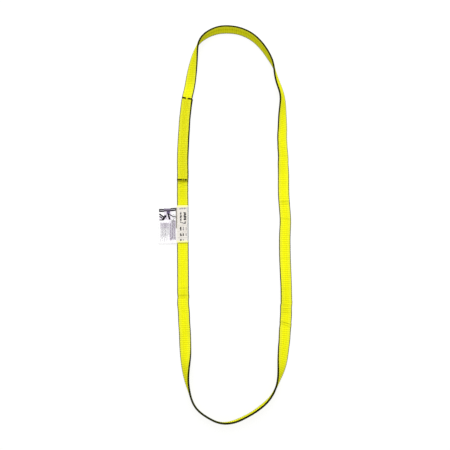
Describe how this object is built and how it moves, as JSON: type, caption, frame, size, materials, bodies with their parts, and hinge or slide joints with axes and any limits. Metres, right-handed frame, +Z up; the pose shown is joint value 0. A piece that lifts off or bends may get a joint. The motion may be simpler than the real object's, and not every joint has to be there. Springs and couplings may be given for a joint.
{
  "type": "endless web sling",
  "caption": "Endless flat woven lifting sling lying as an elongated loop, lap-sewn splice, dark selvedges, sewn label panel with a loose label flag.",
  "frame": {"origin": "centre of the loop's bounding box, on the ground the sling lies on", "axes": "+Y along the loop's length toward the bight above the splice, +X toward the plain right leg, +Z up off the ground"},
  "size_m": [0.2901, 0.8916, 0.026],
  "materials": {
    "web_yellow": "woven polyester, slight sheen",
    "selvedge_dark": "woven polyester, matte",
    "core_red": "twisted yarn",
    "label_white": "printed label stock, matte",
    "label_film": "clear laminate film",
    "label_thread": "sewing thread",
    "splice_thread": "bonded sewing thread",
    "cross_thread": "bonded sewing thread"
  },
  "bodies": {
    "middle_section": {"web_left_middle": "web_yellow", "web_right_middle": "web_yellow", "edge_inner_left_middle": "selvedge_dark", "edge_outer_left_middle": "selvedge_dark", "edge_inner_right_middle": "selvedge_dark", "edge_outer_right_middle": "selvedge_dark", "core_yarns_left_middle": "core_red", "core_yarns_right_middle": "core_red", "label_panel": "label_white", "label_panel_film": "label_film", "label_stitching": "label_thread"},
    "upper_section": {"web_upper": "web_yellow", "web_splice_tail": "web_yellow", "edge_inner_upper": "selvedge_dark", "edge_outer_upper": "selvedge_dark", "tail_edge_inner": "selvedge_dark", "tail_edge_outer": "selvedge_dark", "core_yarns_upper": "core_red", "core_yarns_tail": "core_red", "splice_thread_rows": "splice_thread", "splice_cross_rows": "cross_thread"},
    "lower_section": {"web_lower": "web_yellow", "edge_inner_lower": "selvedge_dark", "edge_outer_lower": "selvedge_dark", "core_yarns_lower": "core_red"},
    "label_flag": {"flag_panel": "label_white", "flag_film": "label_film"}
  },
  "joints": [
    {"name": "upper_fold", "type": "hinge", "parent": "middle_section", "child": "upper_section", "pos_m": [0, 0.0458, 0.0092], "axis": [1, 0, 0], "range_deg": [0, 90]},
    {"name": "lower_fold", "type": "hinge", "parent": "middle_section", "child": "lower_section", "pos_m": [0, -0.1935, 0.008], "axis": [-1, 0, 0], "range_deg": [0, 165]},
    {"name": "label_flap", "type": "hinge", "parent": "middle_section", "child": "label_flag", "pos_m": [-0.1058, -0.03055, 0.0052], "axis": [-0.0215, 0.9998, 0], "range_deg": [0, 170]}
  ]
}
